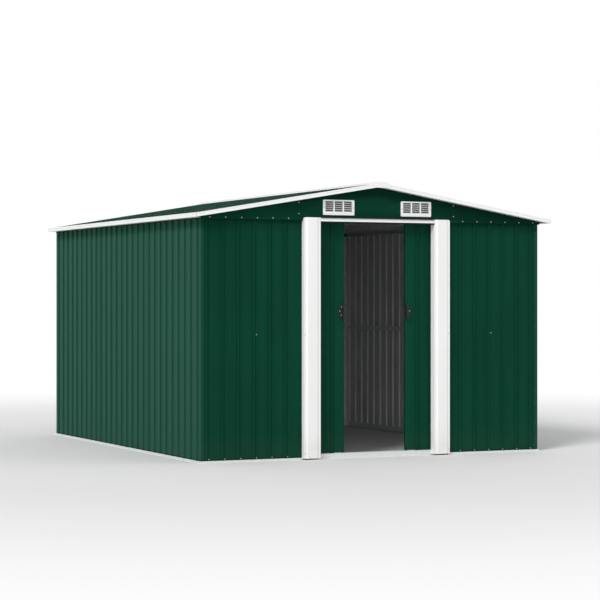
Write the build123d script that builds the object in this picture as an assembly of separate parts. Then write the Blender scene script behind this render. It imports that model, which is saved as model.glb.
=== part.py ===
from build123d import *
from math import cos, radians, sin, tan
import os

os.makedirs("parts", exist_ok=True)

# A sheet metal storage shed with a low gable roof and two sliding doors.
# Millimetres. X runs to the right along the front, Y towards the back, Z up.
# The origin is on the ground under the middle of the roof.

# Walls and roof
wall_width = 2450.0
wall_depth = 2930.0
header_top = 1549.0
side_overhang = 60.0
front_overhang = 75.0
back_overhang = 25.0
roof_angle = 9.5
eave_drop = 11.0

# Sheet and frame stock
sheet = 1.0
frame_gauge = 1.5
seat = 0.3

# Ribbed sheet
rib_pitch = 108.0
rib_base = 26.0
rib_top = 12.0
rib_height = 8.5
lap_width = 14.0
lap_joggle = 2.5
lap_end = 1.0
corner_return = 20.0
front_rib_start_left = 36.0
front_rib_start_right = 60.0
wall_head = 8.0

# Base frame
base_ledge = 13.0
base_web_top = 45.0
base_flange = 40.0
ledge_margin = 0.5

# Frame inside the walls
post_leg = 40.0
rail_flange = 34.0
mid_rail_middle = 802.0
mid_rail_height = 32.0
mid_rail_depth = 16.0

# Roof frame
beam_height = 50.0
beam_half = 18.0
purlin_share = 0.5
purlin_width = 38.0
purlin_height = 25.0

# Doorway trim
doorway_half = 413.0
jamb_width = 117.0
jamb_projection = 35.0
jamb_raise = 6.0
jamb_slope = 11.0
jamb_flange = 14.0
jamb_lip = 14.0
jamb_foot = 9.0
jamb_gauge = 1.5
jamb_corner = 12.0
header_height = 24.0
header_band = 9.0
header_slope = 3.0

# Door tracks
track_setback = 12.0
track_height = 32.0
track_floor = 14.0
track_lip = 10.0
track_slot = 34.0
top_track_height = 30.0
top_track_rise = 7.0

# Gables
gable_cover = 19.0
gable_stand = 23.0
gable_joint = 4.0
gable_lap = 41.0
gable_flange = 20.0
gable_corner = 14.0

# Louvred vents
vent_width = 224.0
vent_height = 99.0
vent_rise = 17.0
vent_from_joint = 141.0
vent_side_border = 15.0
vent_low_border = 20.0
vent_top_border = 8.0
vent_plate = 4.0
vent_corner = 7.0
vent_edge = 1.2
vent_sleeve = 12.0
vent_wall = 1.5
vent_clearance = 1.0
vent_columns = 3
vent_mullion = 8.0
vent_rows = 5
louvre_gauge = 1.6
louvre_inset = 0.8
louvre_gap = 5.0

# Doors
door_gap = 5.0
door_overlap = 28.5
door_open_left = 208.5
door_open_right = 230.5
door_foot = 3.0
door_depth = 22.0
door_rib_from_edge = 90.0
door_rail_height = 34.0
runner_length = 50.0
runner_inset = 20.0
runner_thickness = 9.0
runner_root = 0.5
hanger_width = 42.0
hanger_rise = 14.0
handle_middle = 942.0
handle_width = 41.0
handle_height = 103.0
handle_plate = 3.0
handle_inset = 1.0
handle_edge = 1.2
pull_depth = 24.0
pull_width = 14.0
pull_inset = 1.0
pull_edge = 2.5

# Roof trims and ridge
trim_height = 26.0
trim_flange = 30.0
trim_crease = 1.5
trim_crease_half = 4.0
eave_clearance = 3.0
ridge_gap = 3.0
ridge_cap_half = 55.0
ridge_cap_taper = 2.0
ridge_cap_flange = 10.0
ridge_cap_rise = 8.0
ridge_cap_fall = 5.0
ridge_plate_half = 38.0
ridge_plate_drop = 5.4

half_width = wall_width / 2
half_depth = wall_depth / 2
inner_x = half_width - sheet
inner_y = half_depth - sheet
roof_half_width = half_width + side_overhang
roof_front = half_depth + front_overhang
roof_back = half_depth + back_overhang
centre_shift = (front_overhang - back_overhang) / 2
slope = tan(radians(roof_angle))
slope_dir = (cos(radians(roof_angle)), 0, -sin(radians(roof_angle)))
slope_sheet = sheet / slope_dir[0]
rake_peak = header_top - eave_drop + trim_height + slope * roof_half_width
header_bottom = header_top - header_height
jamb_outer = doorway_half + jamb_width


def trim_top(x):
    """Height of the top of the roof trims at a distance from the ridge."""
    return rake_peak - slope * abs(x)


def trim_under(x):
    """Height of the underside of the roof trims."""
    return trim_top(x) - trim_height


def pan_under(x):
    """Height of the underside of the flat part of the roof sheets."""
    return trim_top(x) - slope_sheet - rib_height - sheet


def inset(line, gauge):
    """The line drawn in to its left by a sheet's thickness."""
    normals = []
    for (x0, y0), (x1, y1) in zip(line, line[1:]):
        size = ((x1 - x0) ** 2 + (y1 - y0) ** 2) ** 0.5
        normals.append((-(y1 - y0) / size, (x1 - x0) / size))
    inner = []
    for i, (x, y) in enumerate(line):
        a = normals[max(i - 1, 0)]
        b = normals[min(i, len(normals) - 1)]
        k = gauge / (1 + a[0] * b[0] + a[1] * b[1])
        inner.append((x + k * (a[0] + b[0]), y + k * (a[1] + b[1])))
    return inner


def folded(line, gauge):
    """Face of a sheet folded along a line, with its thickness on the left."""
    return make_face(Polyline(*line, *reversed(inset(line, gauge)), close=True))


def outline(points):
    """Face inside a closed outline."""
    return make_face(Polyline(*points, close=True))


def along_x(face, x0, x1):
    """Prism from a face drawn in Y and Z."""
    return extrude(Plane((x0, 0, 0), x_dir=(0, 1, 0), z_dir=(1, 0, 0)) * face, x1 - x0)


def along_y(face, y0, y1):
    """Prism from a face drawn in X and Z."""
    return extrude(Plane((0, y1, 0), x_dir=(1, 0, 0), z_dir=(0, -1, 0)) * face, y1 - y0)


def along_z(face, z0, z1):
    """Prism from a face drawn in X and Y."""
    return extrude(Plane((0, 0, z0)) * face, z1 - z0)


def down_slope(face, x0, x1):
    """Prism from a face drawn in Y and Z at the ridge, run down the right slope."""
    length = (x1 - x0) / slope_dir[0]
    start = Plane((x0, 0, -slope * x0), x_dir=(0, 1, 0), z_dir=(1, 0, 0)) * face
    return extrude(start, length, dir=slope_dir)


def box(x, y, z):
    """Box between pairs of limits."""
    size = (x[1] - x[0], y[1] - y[0], z[1] - z[0])
    middle = ((x[0] + x[1]) / 2, (y[0] + y[1]) / 2, (z[0] + z[1]) / 2)
    return Pos(*middle) * Box(*size)


def mirrored(shape):
    """The same piece on the left side."""
    return mirror(shape, Plane.YZ)


def turned(shape):
    """The same piece at the back."""
    return Rot(0, 0, 180) * shape


def both_sides(shape):
    """A piece and its mirror image on the left, as separate solids."""
    return Compound([*shape.solids(), *mirrored(shape).solids()])


def save(shape, name):
    """Write one piece, set so that the middle of the roof is at the origin."""
    export_step(Pos(0, centre_shift, 0) * shape, f"parts/{name}.step")


def rib(middle):
    """Four points of one raised rib."""
    return [
        (middle - rib_base / 2, 0),
        (middle - rib_top / 2, rib_height),
        (middle + rib_top / 2, rib_height),
        (middle + rib_base / 2, 0),
    ]


def sheet_line(start, end, ribs, head, tail, lapped):
    """Outer line of one ribbed sheet, as distances along it and outwards."""
    line = []
    if head:
        line.append((start, -head))
    if lapped:
        lift = sheet + seat
        line += [(start - lap_width, lift), (start, lift), (start + lap_joggle, 0)]
    else:
        line.append((start, 0))
    for middle in ribs:
        if start < middle < end:
            line += rib(middle)
    line.append((end, 0))
    if tail:
        line.append((end, -tail))
    return line


def sheet_lines(length, ribs, joints, turn=0):
    """Outer lines of the lapped sheets that cover one length."""
    starts = [0, *joints]
    ends = [*(joint - lap_end for joint in joints), length]
    return [
        sheet_line(
            start,
            end,
            ribs,
            turn if start == 0 else 0,
            turn if end == length else 0,
            start > 0,
        )
        for start, end in zip(starts, ends)
    ]


def centred_ribs(length):
    """Rib middles at the common pitch, centred on a length."""
    count = int((length - 2 * rib_base) / rib_pitch) + 1
    first = (length - (count - 1) * rib_pitch) / 2
    return [first + rib_pitch * k for k in range(count)]


def thirds(ribs):
    """Places for two laps, each midway between ribs."""
    third = len(ribs) // 3
    return [(ribs[k - 1] + ribs[k]) / 2 for k in (third, 2 * third)]


# Side walls, each in three lapped sheets that turn round the corners
side_top = trim_under(half_width) + wall_head
side_ribs = centred_ribs(wall_depth)
right_wall = Compound(
    [
        along_z(
            folded([(half_width + out, s - half_depth) for s, out in line], sheet),
            base_ledge,
            side_top,
        )
        for line in sheet_lines(wall_depth, side_ribs, thirds(side_ribs), corner_return)
    ]
)
save(right_wall, "right_wall")
save(mirrored(right_wall), "left_wall")

# Front walls, each one sheet from the corner to behind the doorway trim
wall_top = header_top - sheet
front_sheet_end = (doorway_half + jamb_outer) / 2
front_start = half_width - corner_return - seat


def front_wall(rib_start):
    first = half_width - rib_start
    count = int((first - rib_base / 2 - jamb_outer) / rib_pitch) + 1
    line = [(front_sheet_end, 0)]
    for k in reversed(range(count)):
        line += rib(first - rib_pitch * k)
    line.append((front_start, 0))
    plan = [(x, -half_depth - out) for x, out in line]
    return along_z(folded(plan, sheet), base_ledge, wall_top)


save(front_wall(front_rib_start_right), "front_wall_right")
save(mirrored(front_wall(front_rib_start_left)), "front_wall_left")

# Back wall in three lapped sheets
back_length = 2 * front_start
back_ribs = centred_ribs(back_length)
back_wall = [
    along_z(
        folded([(front_start - s, half_depth + out) for s, out in line], sheet),
        base_ledge,
        wall_top,
    )
    for line in sheet_lines(back_length, back_ribs, thirds(back_ribs))
]
save(Compound(back_wall), "back_wall")

# Base rails: a ledge that carries the sheets, a web behind them, a foot inwards
ledge_x = half_width + rib_height + ledge_margin
ledge_y = half_depth + rib_height + ledge_margin
foot_x = inner_x - base_flange
foot_y = inner_y - base_flange


def base_face(inner, outer, foot):
    line = [
        (-inner, base_web_top),
        (-inner, base_ledge),
        (-outer, base_ledge),
        (-outer, 0),
        (-foot, 0),
    ]
    return folded(line, frame_gauge)


def ledge_face(inner, outer, foot):
    line = [(-inner, base_ledge), (-outer, base_ledge), (-outer, 0), (-foot, 0)]
    return folded(line, frame_gauge)


left_base = along_y(base_face(inner_x, ledge_x, foot_x), -inner_y, inner_y)
left_base += along_y(ledge_face(inner_x, ledge_x, foot_x), -ledge_y, ledge_y)
corner_ledge = along_x(ledge_face(inner_y, ledge_y, inner_y), -ledge_x, -foot_x)
left_base += corner_ledge
left_base += mirror(corner_ledge, Plane.XZ)
save(both_sides(left_base), "base_rails_side")

track_front = half_depth - track_setback
front_base_face = base_face(inner_y, ledge_y, track_front + seat)
front_base = along_x(front_base_face, jamb_outer + seat, foot_x - seat)
save(both_sides(front_base), "base_rails_front")

back_base = along_x(base_face(inner_y, ledge_y, foot_y), -foot_x + seat, foot_x - seat)
save(turned(back_base), "base_rail_back")

# Corner posts inside the rails
track_low = header_bottom + top_track_rise
rail_low = track_low - frame_gauge
post_x = inner_x - frame_gauge
post_y = inner_y - frame_gauge
post_line = [
    (post_x - post_leg, -post_y),
    (post_x, -post_y),
    (post_x, -post_y + post_leg),
]
post = along_z(folded(post_line, frame_gauge), frame_gauge, rail_low)
front_posts = both_sides(post)
save(front_posts, "corner_posts_front")
save(turned(front_posts), "corner_posts_back")

# Top rails under the eaves and across the back
rail_in = inner_x - rail_flange
side_rail_line = [
    (rail_in, rail_low),
    (inner_x, rail_low),
    (inner_x, pan_under(inner_x)),
    (rail_in, pan_under(rail_in)),
]
rail_end_y = inner_y - seat
side_rail = along_y(folded(side_rail_line, frame_gauge), -rail_end_y, rail_end_y)
save(both_sides(side_rail), "top_rails_side")

back_rail_line = [
    (-inner_y + rail_flange, wall_top),
    (-inner_y, wall_top),
    (-inner_y, rail_low),
    (-inner_y + rail_flange, rail_low),
]
back_rail = along_x(folded(back_rail_line, frame_gauge), -rail_in, rail_in)
save(turned(back_rail), "top_rail_back")

# Rails half way up the walls
mid_low = mid_rail_middle - mid_rail_height / 2
mid_high = mid_rail_middle + mid_rail_height / 2


def mid_rail_face(wall):
    line = [
        (-wall + mid_rail_depth, mid_high),
        (-wall, mid_high),
        (-wall, mid_low),
        (-wall + mid_rail_depth, mid_low),
    ]
    return folded(line, frame_gauge)


mid_end_x = post_x - post_leg
mid_end_y = post_y - post_leg
left_mid = along_y(mid_rail_face(inner_x), -mid_end_y, mid_end_y)
save(both_sides(left_mid), "mid_rails_side")
front_mid = along_x(mid_rail_face(inner_y), front_sheet_end, mid_end_x)
save(both_sides(front_mid), "mid_rails_front")
back_mid = along_x(mid_rail_face(inner_y), -mid_end_x, mid_end_x)
save(turned(back_mid), "mid_rail_back")

# Doorway trim: two wide stepped jambs with closed tops, and the header between
jamb_front = half_depth + jamb_projection
jamb_face = jamb_front + jamb_raise
jamb_line = [
    (doorway_half + jamb_lip, -track_front),
    (doorway_half, -track_front),
    (doorway_half, -jamb_front),
    (doorway_half + jamb_flange, -jamb_front),
    (doorway_half + jamb_flange + jamb_slope, -jamb_face),
    (jamb_outer - jamb_flange - jamb_slope, -jamb_face),
    (jamb_outer - jamb_flange, -jamb_front),
    (jamb_outer, -jamb_front),
    (jamb_outer, -half_depth),
]


def rounded_top(points, low, high, radius):
    """Upright solid on an outline, with the top of its outer side rounded."""
    body = along_z(outline(points), low, high)
    outer = max(x for x, y in points)
    edges = body.edges().filter_by(Axis.Y).filter_by_position(Axis.X, outer - seat, outer + seat)
    return fillet(edges.sort_by(Axis.Z)[-1], radius)


jamb_inside = inset(jamb_line, jamb_gauge)
open_x = doorway_half + jamb_lip + jamb_gauge
open_y = -half_depth + jamb_gauge
hollow = [
    *jamb_inside,
    (jamb_outer - jamb_gauge, open_y),
    (open_x, open_y),
    (open_x, jamb_inside[0][1]),
]
closed = [*jamb_line, (doorway_half + jamb_lip, -half_depth)]
jamb = rounded_top(closed, jamb_foot, header_top, jamb_corner)
jamb -= rounded_top(hollow, 0, header_top - jamb_gauge, jamb_corner - jamb_gauge)
save(jamb, "door_jamb_right")
save(mirrored(jamb), "door_jamb_left")

header_line = [
    (-track_front, header_top),
    (-jamb_front, header_top),
    (-jamb_front, header_bottom + header_band + header_slope),
    (-jamb_face, header_bottom + header_band),
    (-jamb_face, header_bottom),
    (-track_front, header_bottom),
]
header = along_x(folded(header_line, jamb_gauge), -doorway_half, doorway_half)
save(header, "door_header")

# Tracks for the doors, on the ground and behind the header
door_middle = track_front - track_lip - track_slot / 2
track_back = door_middle - track_slot / 2 - track_lip
track_line = [
    (-track_back, 0),
    (-track_back, track_height),
    (-track_back - track_lip, track_height),
    (-track_back - track_lip, track_floor),
    (-track_front + track_lip, track_floor),
    (-track_front + track_lip, track_height),
    (-track_front, track_height),
    (-track_front, 0),
]
track_end = foot_x - seat
bottom_track = along_x(folded(track_line, frame_gauge), -track_end, track_end)
save(bottom_track, "bottom_track")

top_track_line = [
    (-track_back - track_lip, track_low),
    (-track_back, track_low),
    (-track_back, track_low + top_track_height),
    (-track_front, track_low + top_track_height),
    (-track_front, track_low),
    (-track_front + track_lip, track_low),
]
top_track_end = post_x - frame_gauge
top_track = along_x(folded(top_track_line, frame_gauge), -top_track_end, top_track_end)
save(top_track, "door_top_track")

# Gables: two wings and a middle piece lapped over them. The back gable sits on
# the ribs, and the front one stands out from them on a folded foot.
front_wing = half_depth + gable_stand
back_wing = half_depth + rib_height
front_middle = front_wing + sheet + seat
back_middle = back_wing + sheet + seat
gable_bottom = header_top - gable_cover
lap_inner = jamb_outer + gable_joint
lap_outer = lap_inner + gable_lap
flange_end_x = rail_in - seat
flange_end_y = back_wing - gable_flange
vent_x = lap_inner - vent_from_joint - vent_width / 2
vent_bottom = header_top + vent_rise
louvre_low = vent_bottom + vent_low_border
louvre_high = vent_bottom + vent_height - vent_top_border
sleeve_half = vent_width / 2 - vent_side_border


def gable_wing(inner):
    """Right wing whose inner face is at a distance from the middle."""
    outer = half_width + sheet
    face = [
        (lap_inner, gable_bottom),
        (outer, gable_bottom),
        (outer, pan_under(outer)),
        (lap_inner, pan_under(lap_inner)),
    ]
    wing = along_y(outline(face), -inner - sheet, -inner)
    wing += box(
        (half_width, outer),
        (-inner - sheet, -half_depth + gable_corner),
        (gable_bottom, trim_under(half_width) - seat),
    )
    flange = [
        (lap_inner, pan_under(lap_inner) - sheet),
        (flange_end_x, pan_under(flange_end_x) - sheet),
        (flange_end_x, pan_under(flange_end_x)),
        (lap_inner, pan_under(lap_inner)),
    ]
    wing += along_y(outline(flange), -inner, -flange_end_y)
    return wing


def gable_foot():
    """Foot of the front wing, folded back to the crests of the ribs."""
    crest = half_depth + rib_height + seat
    return box((lap_inner, half_width), (-front_wing, -crest), (gable_bottom, gable_bottom + sheet))


def gable_middle(inner, bottom):
    """Middle piece, with the holes for the vents."""
    face = [
        (-lap_outer, bottom),
        (lap_outer, bottom),
        (lap_outer, pan_under(lap_outer)),
        (0, pan_under(0)),
        (-lap_outer, pan_under(lap_outer)),
    ]
    middle = along_y(outline(face), -inner - sheet, -inner)
    end = lap_inner - seat
    flange = [
        (-end, pan_under(end) - sheet),
        (0, pan_under(0) - sheet),
        (end, pan_under(end) - sheet),
        (end, pan_under(end)),
        (0, pan_under(0)),
        (-end, pan_under(end)),
    ]
    middle += along_y(outline(flange), -inner, -flange_end_y)
    half_hole = sleeve_half + vent_clearance
    for x in (-vent_x, vent_x):
        middle -= box(
            (x - half_hole, x + half_hole),
            (-inner - 2 * sheet, -inner + sheet),
            (louvre_low - vent_clearance, louvre_high + vent_clearance),
        )
    return middle


save(both_sides(gable_wing(front_wing) + gable_foot()), "front_gable_wings")
save(turned(both_sides(gable_wing(back_wing))), "back_gable_wings")
save(gable_middle(front_middle, header_top), "front_gable_middle")
save(turned(gable_middle(back_middle, gable_bottom)), "back_gable_middle")


# Louvred vents in the gables: a rounded plate, a sleeve and slanted blades
def vent(inner):
    """Right vent of a gable whose middle piece has its inner face at a distance."""
    half = vent_width / 2
    back = -inner - sheet
    front = back - vent_plate
    inside = back + vent_sleeve
    body = box((-half, half), (front, back), (vent_bottom, vent_bottom + vent_height))
    body = fillet(body.edges().filter_by(Axis.Y), vent_corner)
    body = fillet(body.faces().sort_by(Axis.Y)[0].edges(), vent_edge)
    body += box((-sleeve_half, sleeve_half), (back, inside), (louvre_low, louvre_high))
    low = louvre_low + vent_wall
    high = louvre_high - vent_wall
    opening = 2 * (sleeve_half - vent_wall)
    clear = (opening - vent_mullion * (vent_columns - 1)) / vent_columns
    for i in range(vent_columns):
        x = -opening / 2 + (clear + vent_mullion) * i
        cut_y = (front - vent_plate, inside + vent_plate)
        body -= box((x, x + clear), cut_y, (low, high))
    pitch = (high - low) / vent_rows
    nose = front + louvre_inset
    tail = inside - louvre_inset
    for j in range(vent_rows):
        foot = low - louvre_inset + pitch * j
        head = foot + pitch - louvre_gap
        blade = [
            (nose, foot),
            (nose, foot + louvre_gauge),
            (tail, head),
            (tail, head - louvre_gauge),
        ]
        reach = sleeve_half - vent_wall / 3
        body += along_x(outline(blade), -reach, reach)
    return Pos(vent_x, 0, 0) * body


save(both_sides(vent(front_middle)), "front_vents")
save(turned(both_sides(vent(back_middle))), "back_vents")

# Roof sheets, ribbed down the slope, three lapped sheets to a side
rake_front = roof_front - sheet - seat
rake_back = roof_back - sheet - seat
trim_room = sheet + trim_crease + seat
roof_length = rake_front + rake_back - 2 * trim_room
roof_ribs = centred_ribs(roof_length)
pan_top = rake_peak - slope_sheet - rib_height
roof_right = Compound(
    [
        down_slope(
            folded([(rake_back - trim_room - s, pan_top + out) for s, out in line], sheet),
            ridge_gap,
            roof_half_width - trim_room,
        )
        for line in sheet_lines(roof_length, roof_ribs, thirds(roof_ribs))
    ]
)
save(roof_right, "roof_right")
save(mirrored(roof_right), "roof_left")


def creased(x, high):
    """Points down the outside of a trim's face, with the crease half way."""
    middle = high - trim_height / 2
    return [
        (x, high),
        (x, middle + trim_crease_half),
        (x + trim_crease, middle),
        (x, middle - trim_crease_half),
        (x, high - trim_height),
    ]


# Rake trims along the ends of the roof
def rakes(face, gable):
    """Both trims of one end, from its face back to the gable's middle piece."""
    line = [
        (-face + trim_flange, rake_peak),
        *creased(-face, rake_peak),
        (-gable - sheet - seat, rake_peak - trim_height),
    ]
    return both_sides(down_slope(folded(line, sheet), seat / 2, roof_half_width - trim_room))


save(rakes(rake_front, front_middle), "front_rake_trims")
save(turned(rakes(rake_back, back_middle)), "back_rake_trims")

# Eave trims along the sides: a face, a cover over the ribs and a soffit, drawn on
# the left
eave_low = trim_under(roof_half_width)
eave_in = half_width + rib_height + eave_clearance
cover_x = roof_half_width - trim_flange
cover_cut = trim_flange + seat
face_line = creased(-roof_half_width, trim_top(roof_half_width))
cover_line = [(-cover_x, trim_top(cover_x)), *face_line]
soffit_line = [*face_line, (-eave_in, eave_low)]
eave = along_y(folded(face_line, sheet), -rake_front, rake_back)
eave += along_y(folded(cover_line, sheet), -rake_front + cover_cut, rake_back - cover_cut)
eave += along_y(folded(soffit_line, sheet), -front_middle, back_middle)
save(eave, "eave_trim_left")
save(mirrored(eave), "eave_trim_right")

# Ridge cap, a low raised cover that lies on the rake trims, with a plate hung
# over the joint of the trims at each end
cap_out = ridge_cap_half + ridge_cap_flange
cap_in = ridge_cap_half - ridge_cap_taper
cap_foot = trim_top(ridge_cap_half) + slope_sheet
cap_crown = rake_peak + ridge_cap_rise
cap_shoulder = cap_crown - ridge_cap_fall
cap_line = [
    (cap_out, trim_top(cap_out) + slope_sheet),
    (ridge_cap_half, cap_foot),
    (cap_in, cap_shoulder),
    (0, cap_crown),
    (-cap_in, cap_shoulder),
    (-ridge_cap_half, cap_foot),
    (-cap_out, trim_top(cap_out) + slope_sheet),
]
ridge_cap = along_y(folded(cap_line, sheet), -roof_front, roof_back)
plate_low = trim_under(0) - ridge_plate_drop
end_plate = [
    (-ridge_plate_half, plate_low),
    (ridge_plate_half, plate_low),
    (ridge_cap_half - sheet / 2, cap_foot - sheet / 2),
    (cap_in - sheet / 2, cap_shoulder - sheet / 2),
    (0, cap_crown - sheet / 2),
    (-cap_in + sheet / 2, cap_shoulder - sheet / 2),
    (-ridge_cap_half + sheet / 2, cap_foot - sheet / 2),
]
for y in (-roof_front, roof_back - sheet):
    ridge_cap += along_y(outline(end_plate), y, y + sheet)
save(ridge_cap, "ridge_cap")

# Beams under the roof sheets, from gable to gable
beam_end = flange_end_y - seat
beam_line = [
    (beam_half, pan_under(0) - beam_height),
    (beam_half, pan_under(beam_half)),
    (0, pan_under(0)),
    (-beam_half, pan_under(beam_half)),
    (-beam_half, pan_under(0) - beam_height),
]
ridge_beam = along_y(folded(beam_line, frame_gauge), -beam_end, beam_end)
save(ridge_beam, "ridge_beam")

purlin_in = half_width * purlin_share
purlin_out = purlin_in + purlin_width
purlin_low = pan_under(purlin_out) - purlin_height
purlin_line = [
    (purlin_out, purlin_low),
    (purlin_out, pan_under(purlin_out)),
    (purlin_in, pan_under(purlin_in)),
    (purlin_in, purlin_low),
]
purlin = along_y(folded(purlin_line, frame_gauge), -beam_end, beam_end)
save(both_sides(purlin), "purlins")

# Sliding doors, drawn as the left leaf, whose leading edge faces +X
door_width = doorway_half + door_overlap - door_gap / 2
door_bottom = track_height + door_foot
door_top = track_low - door_gap
door_front = -door_middle - door_depth / 2
door_back = -door_middle + door_depth / 2
pan_y = door_front + rib_height
rail_y = pan_y + sheet


def door_panel(near, far):
    """Ribbed panel with its two upright edges folded back."""
    line = [(far, door_back), (far, pan_y)]
    count = int((door_width - door_rib_from_edge - rib_base) / rib_pitch) + 1
    for k in reversed(range(count)):
        middle = near - door_rib_from_edge - rib_pitch * k
        line += [(x, pan_y - out) for x, out in rib(middle)]
    line += [(near, pan_y), (near, door_back)]
    return along_z(folded(line, sheet), door_bottom, door_top)


def door_rail(x0, x1, low, high):
    """Channel across the back of the panel."""
    line = [(door_back, high), (rail_y, high), (rail_y, low), (door_back, low)]
    return along_x(folded(line, frame_gauge), x0, x1)


def runner_spans(x0, x1):
    """Lengths along a rail where its two runners are."""
    return [
        (x0 + runner_inset, x0 + runner_inset + runner_length),
        (x1 - runner_inset - runner_length, x1 - runner_inset),
    ]


def bottom_rail(x0, x1):
    """Bottom channel with two feet that slide in the ground track."""
    rail = door_rail(x0, x1, door_bottom, door_bottom + door_rail_height)
    tongue = (rail_y, rail_y + runner_thickness)
    for span in runner_spans(x0, x1):
        rail += box(span, tongue, (track_floor + seat, door_bottom + runner_root))
    return rail


def top_rail(x0, x1):
    """Top channel with two hangers that run on the lips of the top track."""
    rail = door_rail(x0, x1, door_top - door_rail_height, door_top)
    tongue = (rail_y, rail_y + runner_thickness)
    head = (-door_middle - hanger_width / 2, -door_middle + hanger_width / 2)
    top = track_low + hanger_rise
    for span in runner_spans(x0, x1):
        rail += box(span, tongue, (door_top - runner_root, top))
        rail += box(span, head, (track_low + frame_gauge + seat, top))
    return rail


def handle(near):
    """Half-oval plate at the leading edge with a deep pull along its straight side."""
    edge = near - handle_inset
    face = Plane((edge, pan_y, handle_middle), x_dir=(1, 0, 0), z_dir=(0, -1, 0))
    span = (handle_middle - handle_height / 2, handle_middle + handle_height / 2)
    plate = extrude(face * Ellipse(handle_width, handle_height / 2), handle_plate)
    plate &= box((edge - handle_width, edge), (pan_y - handle_plate, pan_y), span)
    plate = fillet(plate.faces().sort_by(Axis.Y)[0].edges(), handle_edge)
    inner = Ellipse(handle_width - pull_inset, handle_height / 2 - pull_inset)
    pull = extrude(face * inner, pull_depth)
    reach = (edge - pull_inset - pull_width, edge - pull_inset)
    pull &= box(reach, (pan_y - pull_depth, pan_y - sheet), span)
    pull = fillet(pull.faces().sort_by(Axis.Y)[0].edges(), pull_edge)
    return plate + pull


def door(side, opened, place):
    """Write the pieces of one leaf."""
    near = -door_gap / 2 - opened
    far = near - door_width
    x0 = far + sheet
    x1 = near - sheet
    save(place(door_panel(near, far)), f"door_panel_{side}")
    save(place(bottom_rail(x0, x1)), f"door_bottom_rail_{side}")
    save(place(door_rail(x0, x1, mid_low, mid_high)), f"door_mid_rail_{side}")
    save(place(top_rail(x0, x1)), f"door_top_rail_{side}")
    save(place(handle(near)), f"door_handle_{side}")


door("left", door_open_left, lambda shape: shape)
door("right", door_open_right, mirrored)
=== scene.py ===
import logging
import math
from dataclasses import dataclass
from enum import Enum
from typing import ClassVar, Sequence

import bmesh
import bpy
from mathutils import Matrix, Vector
from mathutils.bvhtree import BVHTree


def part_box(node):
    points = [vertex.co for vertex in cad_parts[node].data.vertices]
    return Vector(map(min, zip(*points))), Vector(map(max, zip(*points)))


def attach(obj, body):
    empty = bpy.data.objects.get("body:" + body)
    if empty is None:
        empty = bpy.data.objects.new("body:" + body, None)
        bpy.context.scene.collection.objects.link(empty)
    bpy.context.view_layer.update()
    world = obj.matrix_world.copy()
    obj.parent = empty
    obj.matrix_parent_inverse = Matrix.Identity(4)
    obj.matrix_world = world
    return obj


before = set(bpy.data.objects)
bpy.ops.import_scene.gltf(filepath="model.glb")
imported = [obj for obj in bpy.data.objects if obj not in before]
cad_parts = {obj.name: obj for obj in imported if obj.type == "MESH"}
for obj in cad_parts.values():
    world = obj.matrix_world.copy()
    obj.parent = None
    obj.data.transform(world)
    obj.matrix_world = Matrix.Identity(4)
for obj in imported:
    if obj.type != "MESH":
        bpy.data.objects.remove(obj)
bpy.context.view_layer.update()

LOG = logging.getLogger("shed")

Colour = tuple[float, float, float]
Point = tuple[float, float, float]
Profile = Sequence[tuple[float, float]]
Places = tuple[float, ...]
Socket = bpy.types.NodeSocket
Sockets = bpy.types.bpy_prop_collection

# Lengths are in metres
MM = 0.001
RIB_PITCH = 0.108
ROOF_SLOPE = math.tan(math.radians(9.5))

# Where the search for a surface starts, and the ways in which screws are driven
REACH = 2.2
FROM_FRONT = (0.0, 1.0, 0.0)
FROM_BACK = (0.0, -1.0, 0.0)
FROM_ABOVE = (0.0, 0.0, -1.0)
HEAD_FACETS = 8

# The sides along X and the ends along Y, as the nodes' names say them
SIDES = (("left", -1.0), ("right", 1.0))
ENDS = (("front", -1.0, FROM_FRONT), ("back", 1.0, FROM_BACK))

# Which screws of an even row are kept
EVERY_SECOND = slice(0, None, 2)
EVERY_FOURTH = slice(2, None, 4)


# Node boards


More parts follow.
